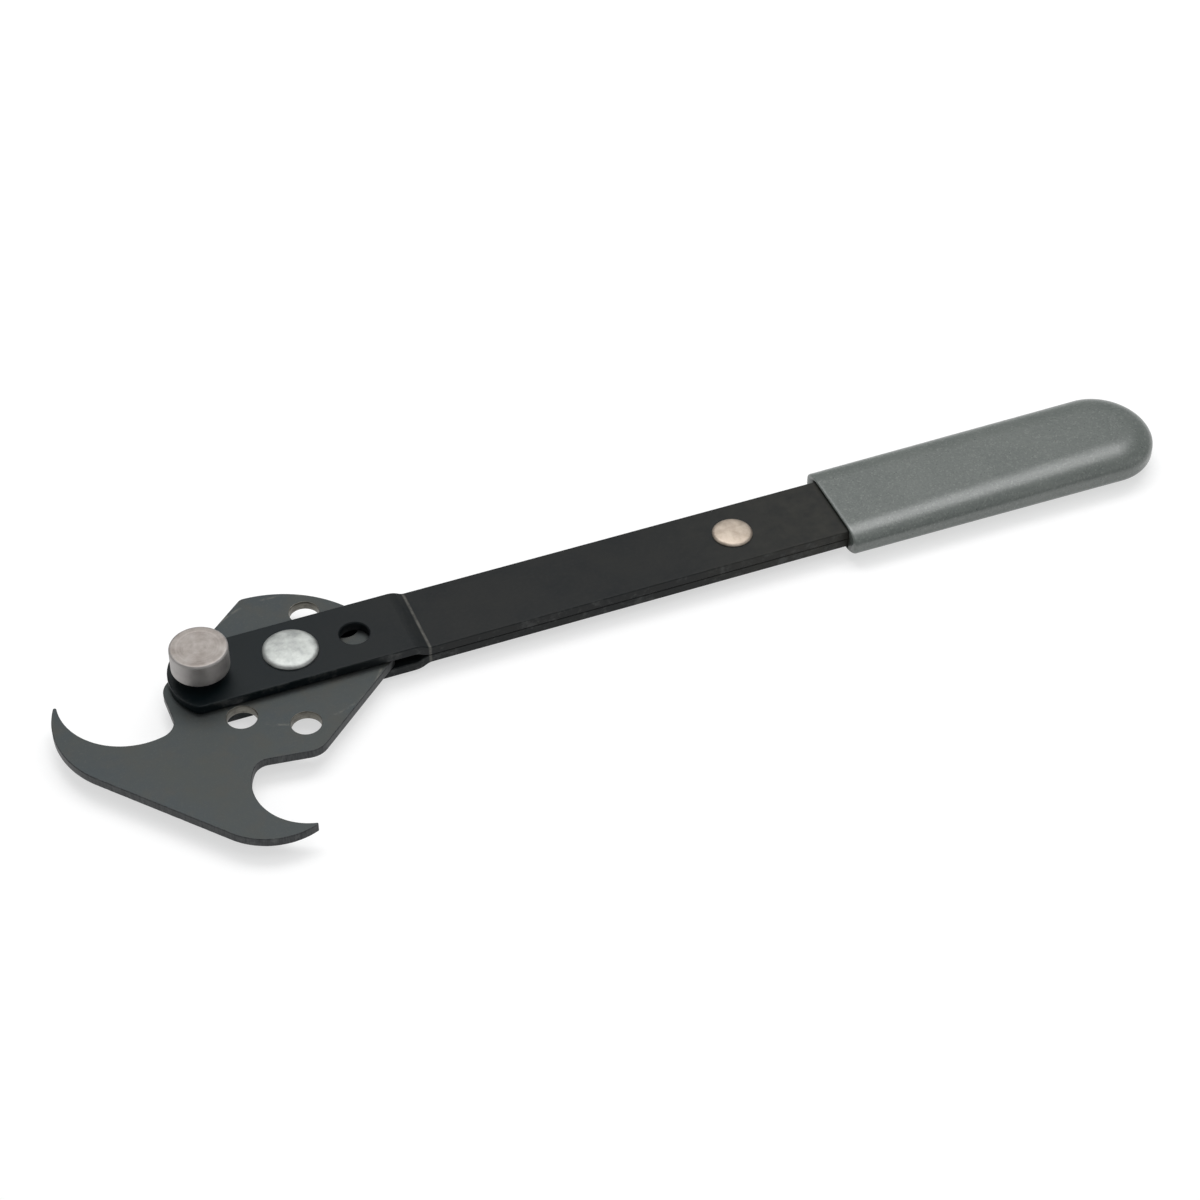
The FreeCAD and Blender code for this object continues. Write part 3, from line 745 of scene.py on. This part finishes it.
bar = black_bar()
pin_steel = turned_metal("pin_steel", at(PIN_X, 0), (0.26, 0.26, 0.26), (0.36, 0.36, 0.355), 0.28)
hidden_rivet = rivet_metal("rear_rivet_metal", (0.62, 0.53, 0.46), (0.78, 0.69, 0.61))
for node, mat in (("upper_strap", bar), ("lower_strap", bar), ("index_pin", pin_steel),
                  ("rear_rivet", hidden_rivet)):
    NODES[node].data.materials.clear()
    NODES[node].data.materials.append(mat)

# ---------------------------------------------------------------- floor and light
FLOOR_SIZE, FLOOR_GAP = 6.0, 0.0002

floor_mesh = bpy.data.meshes.new("floor")
floor_bm = bmesh.new()
bmesh.ops.create_grid(floor_bm, x_segments=1, y_segments=1, size=FLOOR_SIZE)
floor_bm.to_mesh(floor_mesh)
floor_bm.free()
floor = bpy.data.objects.new("floor", floor_mesh)
floor.location.z = -FLOOR_GAP
bpy.context.scene.collection.objects.link(floor)
paper = Shader("floor_paper", Roughness=0.9, Specular_IOR_Level=0.1, Emission_Strength=0.59,
               Emission_Color=(1.0, 1.0, 1.0, 1.0))
cloud = paper.fit(paper.noise(0.25, 2.0), 0.3, 0.7)
paper.colour(paper.mix(cloud, (0.44, 0.44, 0.44), (0.46, 0.46, 0.46)))
floor_mesh.materials.append(paper.mat)

# level directions for the lights: away from the camera, and to its right
VIEW = math.radians(-22.282)
AWAY = Vector((-math.sin(VIEW), math.cos(VIEW), 0))
RIGHT = Vector((math.cos(VIEW), math.sin(VIEW), 0))


def soft_light(name, right, away, up, width, height, radiance):
    """A soft box of that size in metres, at that place round the object and turned to it."""
    data = bpy.data.lights.new(name, "AREA")
    data.shape = "RECTANGLE"
    data.size, data.size_y = width, height
    data.energy = radiance * math.pi * width * height
    obj = bpy.data.objects.new(name, data)
    obj.location = RIGHT * right + AWAY * away + Vector((0, 0, up))
    obj.rotation_euler = (-obj.location).to_track_quat("-Z", "Y").to_euler()
    bpy.context.scene.collection.objects.link(obj)


soft_light("key", 0.0, 0.64, 1.36, 1.6, 0.70, 3.7)
soft_light("top", 0.10, 0.06, 1.50, 1.6, 0.48, 2.2)
soft_light("back", 0.0, 2.1, 1.9, 3.4, 2.0, 0.10)
soft_light("left", -1.8, 0.0, 0.9, 1.2, 1.2, 0.36)
soft_light("right", 1.8, -0.4, 0.9, 1.4, 1.4, 0.40)

world = bpy.data.worlds.new("studio")
world.use_nodes = True
world.node_tree.nodes["Background"].inputs["Color"].default_value = (0.97, 0.985, 1.0, 1.0)
world.node_tree.nodes["Background"].inputs["Strength"].default_value = 0.35
bpy.context.scene.world = world
bpy.context.scene.view_settings.view_transform = "Standard"

# ---------------------------------------------------------------- camera
CAMERA_FROM_PIVOT = Vector((-0.151048, -0.612274, 0.620970))
CAMERA_RIGHT = (0.92667265, -0.37585064, 0.00375478)
CAMERA_FORWARD = (0.2744573, 0.66979107, -0.68996602)

camera_data = bpy.data.cameras.new("camera")
camera_data.sensor_fit = "HORIZONTAL"
camera_data.sensor_width = 36.0
camera_data.lens = 88.068
camera_data.clip_start = 0.05
camera_data.clip_end = 30.0
camera = bpy.data.objects.new("camera", camera_data)
right = Vector(CAMERA_RIGHT).normalized()
forward = Vector(CAMERA_FORWARD).normalized()
up = right.cross(forward).normalized()
axes = Matrix((right, up, -forward)).transposed().to_4x4()
camera.matrix_world = Matrix.Translation(PIVOT + CAMERA_FROM_PIVOT) @ axes
bpy.context.scene.collection.objects.link(camera)
bpy.context.scene.camera = camera
